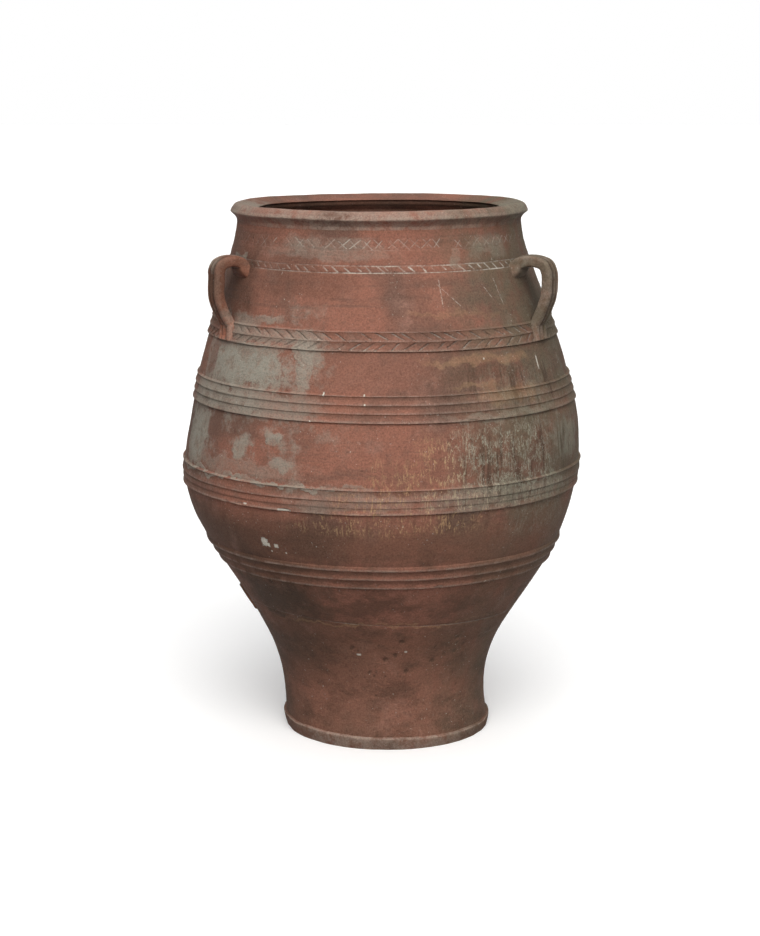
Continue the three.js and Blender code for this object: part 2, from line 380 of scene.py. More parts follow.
# %% Ring builder
def make_mesh(name, points, quads, ridge, cut):
    mesh = bpy.data.meshes.new(name)
    mesh.vertices.add(len(points))
    mesh.vertices.foreach_set("co", points.astype(np.float32).ravel())
    mesh.loops.add(quads.size)
    mesh.loops.foreach_set("vertex_index", quads.astype(np.int32).ravel())
    mesh.polygons.add(len(quads))
    mesh.polygons.foreach_set("loop_start", np.arange(0, quads.size, 4, dtype=np.int32))
    mesh.update(calc_edges=True)
    mesh.validate()
    mesh.shade_smooth()
    mesh.set_sharp_from_angle(angle=math.radians(70))
    for label, values in (("ridge", ridge), ("cut", cut)):
        layer = mesh.attributes.new(label, "FLOAT", "POINT")
        layer.data.foreach_set("value", np.ascontiguousarray(values, dtype=np.float32).ravel())
    return mesh


def grid_quads(rows, columns, rows_close, columns_close):
    """The corners of a grid's faces, wrapped round where the grid closes on itself."""
    row = np.arange(rows if rows_close else rows - 1)[:, None]
    column = np.arange(columns if columns_close else columns - 1)[None, :]
    next_row, next_column = (row + 1) % rows, (column + 1) % columns
    quads = [
        row * columns + column,
        row * columns + next_column,
        next_row * columns + next_column,
        next_row * columns + column,
    ]
    return np.stack(quads, axis=-1).reshape(-1, 4)


def place(name, mesh, node, slot):
    """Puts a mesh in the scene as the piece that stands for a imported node."""
    piece = bpy.data.objects.new(name, mesh)
    bpy.context.collection.objects.link(piece)
    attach(piece, "root")
    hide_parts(node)
    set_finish(piece, slot)
    print(f"{name}: {len(mesh.vertices)} points, {len(mesh.polygons)} faces")
    return piece


def ring(name, node, slot, radius, height, ridge=0, cut=0):
    """A closed ring: each row of the arrays is one circle, counted up the outside."""
    shape = np.broadcast_shapes(radius.shape, height.shape)
    radius, height, ridge, cut = (np.broadcast_to(v, shape) for v in (radius, height, ridge, cut))
    turn = np.linspace(0, 2 * np.pi, shape[1], endpoint=False)[None, :]
    x, y, z = out_of_true(radius * np.sin(turn), -radius * np.cos(turn), height)
    points = np.stack([x, y, z], axis=-1).reshape(-1, 3)
    quads = grid_quads(*shape, True, True)
    return place(name, make_mesh(name, points, quads, ridge, cut), node, slot)


# %% [markdown]
# ## Pits and chips
#
# Grit bursts out of the clay in firing and leaves pits, and knocks take chips off the edges. Each
# is a shallow bowl pressed into the surface. Most of the pits are low down on the foot, where the
# jar stood in the ground.

# %% Scattered pits
random = np.random.default_rng(SEED)


def scatter_pits(count, low, high, smallest, largest, azimuths=(-math.pi, math.pi)):
    """Rows of azimuth, height, radius and depth."""
    size = smallest + (largest - smallest) * random.random(count) ** 3
    return np.column_stack(
        [
            random.uniform(*azimuths, count),
            random.uniform(low, high, count),
            size,
            size * random.uniform(0.25, 0.5, count),
        ]
    )


PITS = np.vstack(
    [
        scatter_pits(110, 0.03, 0.95, 1.5 * MM, 3 * MM),
        scatter_pits(90, 0.10, 0.24, 1.6 * MM, 5 * MM),
        scatter_pits(70, 0.14, 0.22, 1.6 * MM, 5.5 * MM, (-0.35, 0.75)),
    ]
)


def pitted(azimuth, height):
    """How deep the pits are at each point, in metres."""
    depth = np.zeros(np.broadcast_shapes(azimuth.shape, height.shape))
    low, high = height.min(), height.max()
    ragged = 0.45 * on_cylinder(azimuth, height, 0.004, 0.003)
    for centre, level, size, deep in PITS:
        if not low - size < level < high + size:
            continue
        across = np.angle(np.exp(1j * (azimuth - centre))) * float(outside(level))
        distance = np.hypot(across, height - level) / size + ragged
        depth = np.maximum(depth, deep * np.clip(1 - distance**2, 0, 1))
    return depth


print(len(PITS), "pits")

# %% [markdown]
# ## Drawing in the clay
#
# The neck carries two drawn bands, cut with a pointed stick: a lattice of crossed strokes between
# two lines, and below it a row of short dashes between two more. A stroke is a groove that leans
# as it goes up. No two are alike, so each stroke gets its own small error in place and lean.


# %% Strokes
def strokes(azimuth, height, low, high, count, lean, width, seed, miss=0.0):
    """Leaning grooves side by side round a band: 1 in the middle of a groove, 0 outside."""
    draw = np.random.default_rng(seed)
    shift = draw.normal(0, 0.10, count)
    tilt = lean * draw.normal(1, 0.12, count)
    bottom = low + (high - low) * np.clip(draw.normal(0.12, 0.08, count), 0, 0.4)
    top = high - (high - low) * np.clip(draw.normal(0.12, 0.08, count), 0, 0.4)
    strength = np.clip(draw.normal(0.85, 0.25, count), 0.2, 1) * (draw.random(count) > miss)
    pitch = 2 * np.pi / count
    middle = (low + high) / 2
    radius = float(outside(middle))
    nearest = np.floor(azimuth / pitch).astype(int)
    drawn = np.zeros(np.broadcast_shapes(azimuth.shape, height.shape))
    for step in range(-2, 4):
        which = (nearest + step) % count
        centre = (nearest + step + shift[which]) * pitch * radius
        along = (height - middle) * tilt[which]
        distance = (azimuth * radius - centre - along) / np.hypot(1, tilt[which])
        ends = smooth_step(bottom[which] - 1.2 * MM, bottom[which] + 1.2 * MM, height)
        ends = ends * (1 - smooth_step(top[which] - 1.2 * MM, top[which] + 1.2 * MM, height))
        drawn = np.maximum(drawn, bell(distance, width) * ends * strength[which])
    return drawn


def drawn_line(azimuth, height, level, width, seed):
    """A line drawn round the jar, which wanders and fades a little."""
    wander = on_cylinder(azimuth, seed, 0.05, 1) * 0.6 * MM
    strength = np.clip(0.75 + 0.5 * on_cylinder(azimuth, seed + 5, 0.04, 1), 0.15, 1)
    return bell(height - level - wander, width) * strength


LATTICE_LOW, LATTICE_HIGH = 0.932, 0.953
DASH_LOW, DASH_HIGH = 0.8935, 0.9055


def neck_drawing(azimuth, height):
    lattice = np.maximum(
        strokes(azimuth, height, LATTICE_LOW, LATTICE_HIGH, 80, 1.0, 1.0 * MM, 11, 0.05),
        strokes(azimuth, height, LATTICE_LOW, LATTICE_HIGH, 80, -1.0, 1.0 * MM, 12, 0.05),
    )
    dashes = strokes(azimuth, height, DASH_LOW, DASH_HIGH, 92, -1.1, 1.3 * MM, 13)
    drawing = np.maximum(lattice * 0.7, dashes)
    for level, strength in ((LATTICE_LOW, 0.5), (LATTICE_HIGH, 0.4), (DASH_LOW, 1), (DASH_HIGH, 0.9)):
        line = drawn_line(azimuth, height, level, 0.9 * MM, 100 * level) * strength
        drawing = np.maximum(drawing, line)
    return drawing


# %% [markdown]
# ## The wall, section by section
#
# Each section of the wall is one ring. Its outside rows are close together to carry the relief,
# and its inside rows can be further apart. Inside, the joins between coils of clay were only
# smeared over, so the surface rolls gently from coil to coil. Where the foot section meets the hip
# section, the seam shows outside as a thin line that isn't quite level.

# %% Wall sections
ROW_STEP = 3.0 * MM
INSIDE_STEP = 14 * MM
FINE_STEP = 1.4 * MM
COIL_PITCH = 0.034
# The inside wall is darkened by this much in the finish, as painted shade inside the jar.
INSIDE_SHADE = 0.38  # how far the inside counts as a hollow
JOINT_SLOPE = 0.011


def joint_line(azimuth, height):
    level = HIP_SEAM + 1 * MM - JOINT_SLOPE * np.sin(azimuth) + on_cylinder(azimuth, 9, 0.1, 1) * MM
    return bell(height - level, 1.2 * MM)


def inside_skin(azimuth, height):
    coils = np.sin(2 * np.pi * (height / COIL_PITCH + 0.3 * on_cylinder(azimuth, 5, 0.3, 1)))
    return inside(height) + 0.9 * MM * coils + 1.5 * MM * on_cylinder(azimuth, height, 0.12, 0.06)


def wall_section(node, fine_zones=(), drawing=None):
    turn = FINE_TURN if drawing else TURN
    low, high = (c.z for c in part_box(node))
    up = heights_between(low, high, ROW_STEP, FINE_STEP, fine_zones)[:, None]
    down = heights_between(low, high, INSIDE_STEP)[::-1, None]
    pits = pitted(turn, up)
    joint = joint_line(turn, up)
    cut = drawing(turn, up) if drawing else np.zeros_like(pits)
    skin = wall_skin(turn, up) + wiping(turn, up) - pits - 1.3 * MM * cut - 0.9 * MM * joint
    inner = inside_skin(turn, down)
    none = np.zeros_like(inner)
    # Pits and the inside wall get negative ridge values: the finish darkens the pits with dirt and painted
    # shade, and the inside with painted shade.
    ridge = np.vstack([-0.6 * np.clip(pits / MM, 0, 1), none - INSIDE_SHADE])
    marks = np.vstack([np.maximum(cut, 0.45 * joint), none])
    height = np.vstack([up, down]) + 0 * turn
    name = node.replace("_wall", "_section")
    return ring(name, node, "wall", np.vstack([skin, inner]), height, ridge, marks)


joint_zone = (HIP_SEAM - 0.012, HIP_SEAM + 0.016)
wall = [
    wall_section("foot_wall", [joint_zone]),
    wall_section("hip_wall", [joint_zone]),
    wall_section("belly_wall_lower"),
    wall_section("belly_wall_upper"),
    wall_section("shoulder_wall"),
    wall_section("neck_wall", [(DASH_LOW - 0.004, DASH_HIGH + 0.004)], neck_drawing),
    wall_section("collar_wall", [(LATTICE_LOW - 0.004, LATTICE_HIGH + 0.004)], neck_drawing),
]

# %% [markdown]
# ## The applied bands
#
# A band is a strip of clay pressed over a seam. The potter ran a wet finger round it, which left
# lips: each rises slowly from above and drops sharply below, so it catches light on top and throws
# a thin dark line underneath. Seen in section a band is therefore a row of saw teeth with soft
# crests, and its lowest tooth ends in a clean step back to the wall.


# %% Band shape
def lip(height, level, rise=5 * MM, drop=0.9 * MM):
    """A crest at a level, with a slow slope above it and a quick one below."""
    above = height - level
    return np.where(above > 0, bell(above, rise), bell(above, drop))


def band_face(azimuth, height, low, high, lips, bed, crest, seed):
    """How far a lipped band stands out, and where its crests are."""
    wander = on_cylinder(azimuth, seed, 0.12, 1) * 0.9 * MM
    swell = 1 + 0.25 * on_cylinder(azimuth, seed + 4, 0.09, 1)
    level = height - wander
    plateau = smooth_step(low - 0.6 * MM, low + 0.4 * MM, level)
    plateau = plateau * (1 - smooth_step(high - 0.5 * MM, high + 2.2 * MM, level))
    crests = np.zeros(np.broadcast_shapes(azimuth.shape, height.shape))
    for at, strength in lips:
        crests = np.maximum(crests, strength * lip(level, at))
    return plateau * (bed + crest * crests * swell) - 0.6 * MM * (1 - plateau), crests * plateau


def chips(azimuth, height, places):
    """Knocked-off flakes: azimuth in degrees, height, width, height of the flake and depth."""
    gone = np.zeros(np.broadcast_shapes(azimuth.shape, height.shape))
    for centre, level, wide, tall, deep in places:
        across = np.angle(np.exp(1j * (azimuth - math.radians(centre)))) * float(outside(level))
        ragged = 0.35 * on_cylinder(azimuth, height, 0.006, 0.006)
        distance = np.hypot(across / wide, (height - level) / tall) + ragged
        gone = np.maximum(gone, deep * (1 - smooth_step(0.6, 1.0, distance)))
    return gone


EDGE_CHIPS = [(-27, 0.483, 12 * MM, 3.5 * MM, 3 * MM), (-42, 0.4835, 6 * MM, 3 * MM, 2.5 * MM)]
for at in random.uniform(-180, 180, 16):
    level = random.choice([0.4825, 0.642, 0.337, 0.763])
    EDGE_CHIPS.append((at, level, random.uniform(3, 9) * MM, random.uniform(2, 4) * MM, 2 * MM))


def band(name, node, lips, bed, crest, seed, drawing=None):
    turn = FINE_TURN if drawing else TURN
    low, high = (c.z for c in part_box(node))
    margin = 2.6 * MM
    zones = [(at - 2.5 * MM, at + 1.2 * MM) for at, strength in lips]
    step = 0.9 * MM if drawing else 1.5 * MM
    up = heights_between(low - margin, high + margin, step, 0.6 * MM, zones)[:, None]
    down = heights_between(low - margin, high + margin, 12 * MM)[::-1, None]
    proud, crests = band_face(turn, up, low, high, lips, bed, crest, seed)
    cut = drawing(turn, up) if drawing else np.zeros_like(proud)
    flake = chips(turn, up, EDGE_CHIPS)
    skin = wall_skin(turn, up) + wiping(turn, up) + proud - 2.6 * MM * cut - flake
    back = wall_skin(turn, down) - 3 * MM
    # The grooves between the lips get a negative ridge value, which the finish darkens as dirt and painted
    # shade.
    groove = np.clip(1 - crests, 0, 1) * (proud > 0)
    ridge = np.vstack([crests - 0.35 * groove + 2 * (flake > 0.5 * MM), np.zeros_like(back)])
    cuts = np.vstack([cut, np.zeros_like(back)])
    height = np.vstack([up, down]) + 0 * turn
    return ring(name, node, "band", np.vstack([skin, back]), height, ridge, cuts)


# %% Ribbed bands
def lips_at(node, *shares):
    """Lips at shares of a band's height, counted up from its lower edge."""
    low, high = (c.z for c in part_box(node))
    return [(low + share * (high - low), strength) for share, strength in shares]


lower_band = band(
    "lower_band_ribs",
    "lower_band",
    lips_at("lower_band", (0.03, 0.9), (0.43, 0.9), (0.83, 1.0)),
    bed=1.2 * MM,
    crest=3.2 * MM,
    seed=31,
)
middle_band = band(
    "middle_band_ribs",
    "middle_band",
    lips_at("middle_band", (0.02, 1.0), (0.30, 0.4), (0.56, 0.8), (0.98, 0.8)),
    bed=2.6 * MM,
    crest=2.2 * MM,
    seed=32,
)
upper_band = band(
    "upper_band_ribs",
    "upper_band",
    lips_at("upper_band", (0.02, 1.0), (0.345, 0.8), (0.66, 0.9), (0.985, 0.9)),
    bed=2.0 * MM,
    crest=2.2 * MM,
    seed=33,
)


# %% Chevron band
CHEVRON_LOW, CHEVRON_HIGH = (c.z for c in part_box("chevron_band"))
CHEVRON_MIDDLE = (CHEVRON_LOW + CHEVRON_HIGH) / 2
CHEVRON_COUNT = 82


def chevrons(azimuth, height):
    gap = 0.6 * MM
    upper = strokes(
        azimuth, height, CHEVRON_MIDDLE + gap, CHEVRON_HIGH - gap, CHEVRON_COUNT, -1.6, 1.05 * MM, 21
    )
    lower = strokes(
        azimuth, height, CHEVRON_LOW + gap, CHEVRON_MIDDLE - gap, CHEVRON_COUNT, 1.6, 1.05 * MM, 22
    )
    return np.maximum(upper, lower)


chevron_band = band(
    "chevron_band_ribs",
    "chevron_band",
    lips_at("chevron_band", (0.02, 0.9), (0.5, 0.8), (0.97, 0.8)),
    bed=2.4 * MM,
    crest=1.8 * MM,
    seed=34,
    drawing=chevrons,
)

# %% [markdown]
# ## Floor, foot band and rim
#
# The floor is a plain disc, open to view only from below and down through the mouth. Its outline
# starts and ends on the axis, so its first and last rows shrink to almost nothing. The foot band
# is a roll of clay pressed round the bottom edge. The rim is a thick coil, flattened on top by the
# palm and pinched to a lip outside.


# %% Floor disc
def floor_disc():
    low, high = (c.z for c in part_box("floor_disc"))
    bottom_radius = float(outside(0.02)) - 9 * MM
    top_radius = float(outside(high)) - 1 * MM
    pinhole = 0.2 * MM
    under = np.linspace(pinhole, bottom_radius, 24)
    side = np.linspace(bottom_radius, top_radius, 6)[1:]
    over = np.linspace(top_radius, pinhole, 24)[1:]
    radius = np.concatenate([under, side, over])[:, None]
    height = np.concatenate([low + 0 * under, np.linspace(low, high, 6)[1:], high + 0 * over])
    rough = noise(radius * np.sin(TURN) / 0.03, radius * np.cos(TURN) / 0.03, 0.5) * 0.8 * MM
    lifted = height[:, None] + np.where(height[:, None] > low, rough, np.abs(rough))
    return ring("floor_slab", "floor_disc", "base", radius + 0 * TURN, lifted)


floor_slab = floor_disc()


# %% Foot band
def foot_roll():
    low, high = (c.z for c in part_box("foot_band"))
    up = heights_between(low - 1.0 * MM, high + 3 * MM, 1.2 * MM)[:, None]
    down = heights_between(low, high, 8 * MM)[::-1, None]
    edge = high - 1 * MM + 2.2 * MM * on_cylinder(TURN, 51, 0.09, 1) - 3 * MM * np.sin(TURN)
    share = np.clip((up - low) / (edge - low), 0, 1)
    roll = (4.8 - 5.5 * (1 - share) ** 1.5) * MM
    top = 1 - smooth_step(edge - 0.8 * MM, edge + 0.8 * MM, up)
    worn = 2.2 * MM * np.clip(on_cylinder(TURN, up, 0.05, 0.03), 0, 1) * (1 - share)
    skin = wall_skin(TURN, up) + roll * top - 0.6 * MM * (1 - top) - worn
    back = wall_skin(TURN, down) - 12 * MM
    crest = bell(up - edge + 1.5 * MM, 1.2 * MM) * top
    # Below its crest the roll's face gets a negative ridge value, which the finish darkens as dirt and painted
    # shade under the lip.
    ridge = np.vstack([crest - 0.3 * (share < 0.9), 0 * back])
    height = np.vstack([up, down]) + 0 * TURN
    return ring("foot_roll", "foot_band", "base", np.vstack([skin, back]), height, ridge)


foot_band = foot_roll()


# %% Rim
def closed_curve(points, steps):
    """A smooth closed curve through points (Catmull-Rom)."""
    points = np.asarray(points)
    t = np.linspace(0, len(points), steps, endpoint=False)
    i, u = np.floor(t).astype(int), (t % 1)[:, None]
    a, b, c, d = (points[(i + k) % len(points)] for k in (-1, 0, 1, 2))
    bent = 2 * b + (c - a) * u + (2 * a - 5 * b + 4 * c - d) * u**2
    return (bent + (3 * b - 3 * c + d - a) * u**3) / 2


def rim_coil():
    lip_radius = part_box("rim")[1].x
    mouth_radius = float(np.hypot(*corners("rim")[:, :2].T).min())
    outer, inner = float(outside(NECK_TOP)), float(inside(NECK_TOP))
    top = JAR_HEIGHT
    outline = [
        (outer - 0.5 * MM, NECK_TOP - 3 * MM),
        (outer + 1.0 * MM, NECK_TOP + 5 * MM),
        (outer + 5.5 * MM, NECK_TOP + 11 * MM),
        (lip_radius - 0.8 * MM, top - 16 * MM),
        (lip_radius - 0.3 * MM, top - 12.5 * MM),
        (lip_radius - 4.5 * MM, top - 4.5 * MM),
        (lip_radius - 9 * MM, top - 0.6 * MM),
        (lip_radius - 16 * MM, top - 0.2 * MM),
        (mouth_radius + 22 * MM, top - 4 * MM),
        (mouth_radius + 7 * MM, top - 7.5 * MM),
        (mouth_radius + 1.2 * MM, top - 9.6 * MM),
        (mouth_radius + 0.8 * MM, top - 11 * MM),
        (mouth_radius + 4 * MM, top - 13.5 * MM),
        (mouth_radius + 6 * MM, top - 20 * MM),
        (inner, NECK_TOP + 2 * MM),
        (inner + 4 * MM, NECK_TOP - 4 * MM),
        ((outer + inner) / 2, NECK_TOP - 4 * MM),
    ]
    section = closed_curve(outline, 110)
    radius, height = section[:, :1], section[:, 1:]
    free = smooth_step(NECK_TOP, NECK_TOP + 8 * MM, height)
    uneven = on_cylinder(TURN, height, 0.11, 0.05) * 1.2 * MM + on_cylinder(TURN, height, 0.03, 0.02) * 0.5 * MM
    sag = on_cylinder(TURN, 77, 0.2, 1) * 1.6 * MM
    skin = radius + 0 * TURN + free * uneven + (1 - free) * lumps(TURN, height)
    lift = height + free * (sag + on_cylinder(TURN, radius * 9, 0.05, 0.1) * 0.4 * MM)
    crest = bell(radius - lip_radius, 3 * MM) * bell(height - top + 12 * MM, 5 * MM)
    mouth = 1 - smooth_step(mouth_radius + 7 * MM, mouth_radius + 11 * MM, radius)
    under = 1 - smooth_step(top - 13 * MM, top - 9 * MM, height)
    # The inside just under the mouth's lip gets a negative ridge value, which the finish darkens as painted
    # shade under the overhang.
    ridge = crest - 0.55 * mouth * under + 0 * TURN
    return ring("rim_coil", "rim", "rim", skin, lift, ridge)


rim = rim_coil()

# %% [markdown]
# ## Strap handles
#
# A handle is a strap of clay with two finger grooves down its outer face. It leaves the wall level,
# arches over, and comes back down along the wall, where the potter pressed its ribs apart over the
# band. It is made by carrying a section along a path in the plane through the jar's axis. The
# section's width, thickness and grooves change as it goes: thick at the root, thin and spread into
# three prongs at the foot.


# %% Handle path
def open_curve(points, steps):
    """A smooth curve through points, and its directions."""
    points = np.asarray(points, dtype=float)
    ends = [2 * points[0] - points[1], *points, 2 * points[-1] - points[-2]]
    reach = np.linspace(0, len(points) - 1, steps)
    i = np.minimum(np.floor(reach).astype(int), len(points) - 2)
    u = (reach - i)[:, None]
    a, b, c, d = (np.array([ends[j + k] for j in i]) for k in range(4))
    bent = 2 * b + (c - a) * u + (2 * a - 5 * b + 4 * c - d) * u**2
    curve = (bent + (3 * b - 3 * c + d - a) * u**3) / 2
    slope = np.gradient(curve, axis=0)
    return curve, slope / np.linalg.norm(slope, axis=1, keepdims=True)


STRAP_THICKNESS = 14 * MM
STRAP_WIDTH = 36 * MM
HANDLE_STEPS = 150
SECTION_STEPS = 72


def handle_path(node):
    """Centre line in the plane through the axis, as (radius, height) points."""
    points = corners(node)
    reach = np.hypot(points[:, 0], points[:, 1]).max() - STRAP_THICKNESS * 0.7
    top = points[:, 2].max() - STRAP_THICKNESS * 0.65
    foot = CHEVRON_LOW + 1 * MM
    half = STRAP_THICKNESS / 2

    def off_wall(height, out):
        return float(outside(height)) + out, height

    stand = reach - float(outside(top - 29 * MM))
    return [
        off_wall(top - 19 * MM, -14 * MM),
        off_wall(top - 14 * MM, 2 * MM),
        off_wall(top - 4.5 * MM, 0.27 * stand),
        off_wall(top - 0.2 * MM, 0.62 * stand),
        (reach - 9 * MM, top - 5 * MM),
        (reach - 1.2 * MM, top - 17 * MM),
        (reach, top - 32 * MM),
        off_wall(top - 60 * MM, 0.43 * stand + 20 * MM),
        off_wall(top - 85 * MM, 0.04 * stand + 25 * MM),
        off_wall(top - 107 * MM, 9.5 * MM),
        off_wall(CHEVRON_HIGH - 6 * MM, half * 0.75),
        off_wall(foot, half * 0.1),
    ]


# %% Handle section
def strap_section(turn, width, thickness, groove, corner=0.36):
    """A flat rounded strap: x across it and y outwards, with two grooves in its outer face."""
    x = np.sign(np.sin(turn)) * np.abs(np.sin(turn)) ** corner * width / 2
    y = np.sign(np.cos(turn)) * np.abs(np.cos(turn)) ** corner * thickness / 2
    across = x / (width / 2)
    dip = bell(across - 0.34, 0.12) + bell(across + 0.34, 0.12)
    swell = 0.12 * thickness * (1 - across**2)
    outer = smooth_step(-0.2, 0.6, y / (thickness / 2))
    return x, y - outer * (groove * dip - swell), dip * outer


def strap_handle(name, node, seed):
    azimuth = math.atan2(*corners(node)[:, :2].mean(0) * (1, -1))
    curve, along = open_curve(handle_path(node), HANDLE_STEPS)
    share = np.linspace(0, 1, HANDLE_STEPS)[:, None]
    turn = np.linspace(0, 2 * np.pi, SECTION_STEPS, endpoint=False)[None, :]
    root = np.exp(-np.clip(share - 0.06, 0, 1) / 0.07)
    foot = smooth_step(0.76, 1.0, share)
    width = STRAP_WIDTH * (1.12 + 0.42 * root + 0.14 * foot)
    thickness = STRAP_THICKNESS * (1.30 + 1.15 * root - 0.40 * foot)
    groove = 4.0 * MM * (1 - root) + 4.5 * MM * foot**1.5
    wobble = noise(share * 5, seed, 0.3)
    x, y, dip = strap_section(turn, width * (1 + 0.03 * wobble), thickness, groove)
    y = y + noise(share * 22, np.cos(turn) * 1.5 + seed, np.sin(turn) * 1.5) * 0.45 * MM
    side = np.stack([along[:, 1], -along[:, 0]], axis=-1)
    outward = -side if side[HANDLE_STEPS // 2, 0] < 0 else side
    radius = curve[:, :1] + y * outward[:, :1]
    height = curve[:, 1:] + y * outward[:, 1:]
    slant = 2.5 * MM * np.sin(seed) * foot
    angle = azimuth + (x + slant) / np.maximum(curve[:, :1], 0.2)
    px, py, pz = out_of_true(radius * np.sin(angle), -radius * np.cos(angle), height)
    points = np.stack([px, py, pz], axis=-1).reshape(-1, 3)
    quads = grid_quads(HANDLE_STEPS, SECTION_STEPS, False, True)
    # The finger grooves get a negative ridge value and a cut value, and the finish darkens them as painted
    # shade.
    ridge = np.clip(0.5 - dip, -0.5, 0.5) * (y > 0) + 0 * share
    return handle_piece(name, node, points, quads, ridge, dip * (1 - root))


def handle_piece(name, node, points, quads, ridge, cut):
    """Closes the two ends of a swept tube with a strip of faces across it."""
    half = SECTION_STEPS // 2
    near = np.arange(half)
    far = (SECTION_STEPS - near) % SECTION_STEPS
    start = np.stack([near, far, (far - 1) % SECTION_STEPS, near + 1], axis=-1)[1:-1]
    last = (HANDLE_STEPS - 1) * SECTION_STEPS
    lids = [start[:, ::-1], start + last]
    pairs = np.vstack([quads, *lids])
    mesh = make_mesh(name, points, pairs, ridge, cut)
    return place(name, mesh, node, "handle")


handles = [
    strap_handle("left_strap", "handle_left", 2.0),
    strap_handle("right_strap", "handle_right", 4.0),
    strap_handle("back_strap", "handle_back", 6.0),
]

# %% [markdown]
# ## The lug
#
# Low on the left there is a slab of clay, pressed on as a hold for tipping the heavy jar. It has
# an abrupt underside, a shallow thumb mark and edges that sink into the wall.


# %% Lug
def lug():
    low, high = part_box("tipping_lug")
    middle = (low + high) / 2
    azimuth = math.atan2(middle.x, -middle.y)
    half_turn = 0.040 / float(outside(middle.z))
    across = np.linspace(-1, 1, 61)[None, :]
    up = np.linspace(-1, 1, 51)[:, None]
    height = middle.z + up * (high.z - low.z) / 2 + 2 * MM * across
    angle = azimuth + across * half_turn
    edge = (1 - smooth_step(0.72, 1.0, np.abs(across))) * (1 - smooth_step(0.86, 1.0, np.abs(up)))
    thumb = 3.0 * MM * bell(across + 0.1, 0.35) * bell(up - 0.1, 0.4)
    lumpy = on_cylinder(angle, height, 0.02, 0.02) * 0.8 * MM
    proud = edge * (12.5 * MM - thumb + lumpy) * (0.8 + 0.2 * smooth_step(-1, 0, up)) - 1.5 * MM
    front = wall_skin(angle, height) + proud
    back = wall_skin(angle, height) - 6 * MM
    sheets = []
    for radius in (front, back):
        x, y, z = out_of_true(radius * np.sin(angle), -radius * np.cos(angle), height)
        sheets.append(np.stack([x, y, z], axis=-1).reshape(-1, 3))
    rows, columns = front.shape
    face = grid_quads(rows, columns, False, False)
    count = rows * columns
    number = np.arange(count).reshape(rows, columns)
    loop = np.concatenate([number[0, :-1], number[:-1, -1], number[-1, :0:-1], number[:0:-1, 0]])
    following = np.roll(loop, -1)
    wall_faces = np.stack([following, loop, loop + count, following + count], axis=-1)
    quads = np.vstack([face, face[:, ::-1] + count, wall_faces])
    values = np.concatenate([(edge * 0.3).ravel() + 0 * front.ravel(), np.zeros(count)])
    mesh = make_mesh("lug_slab", np.vstack(sheets), quads, values, 0 * values)
    return place("lug_slab", mesh, "tipping_lug", "handle")


lug_piece = lug()

# %% [markdown]
# ## Writing shader maths as Python
#
# A finish like this one is mostly arithmetic on masks: this much lime here, less of it on the
# ridges, none where the drips ran. Wrapping a node's output in a small class that understands
# plus, minus and times lets that arithmetic be written as ordinary Python, and each operation
# quietly adds its Math node.


# %% A socket that can be used in expressions
class Wire:
    """A node's output. Arithmetic on it adds Math nodes and gives another Wire."""

    def __init__(self, finish, socket):
        self.finish = finish
        self.socket = socket

    def math(self, operation, *others):
        return self.finish.node("ShaderNodeMath", {"operation": operation}, self, *others)

    def __add__(self, other):
        return self.math("ADD", other)

    def __sub__(self, other):
        return self.math("SUBTRACT", other)

    def __mul__(self, other):
        return self.math("MULTIPLY", other)

    def __truediv__(self, other):
        return self.math("DIVIDE", other)

    def __pow__(self, other):
        return self.math("POWER", other)

    __radd__ = __add__
    __rmul__ = __mul__

    def __rsub__(self, other):
        return self * -1 + other

    def __rtruediv__(self, other):
        return self**-1 * other

    def __neg__(self):
        return self * -1

    def __abs__(self):
        return self.math("ABSOLUTE")

    def above(self, low, high):
        """0 below low and 1 above high, with a smooth rise between. high may be the lower one."""
        settings = {"interpolation_type": "SMOOTHSTEP"}
        return self.finish.node("ShaderNodeMapRange", settings, self, low, high, 0.0, 1.0)

    def clear(self):
        """Kept between 0 and 1."""
        return self.math("MAXIMUM", 0.0).math("MINIMUM", 1.0)

    def larger(self, other):
        return self.math("MAXIMUM", other)

    def smaller(self, other):
        return self.math("MINIMUM", other)


# %% [markdown]
# The finish itself is a material being filled in. One method adds any node: its settings first,
# then the values or links of its sockets, by number or by name. Colours are mixed with Mix nodes,
# because a Math node would turn them grey.


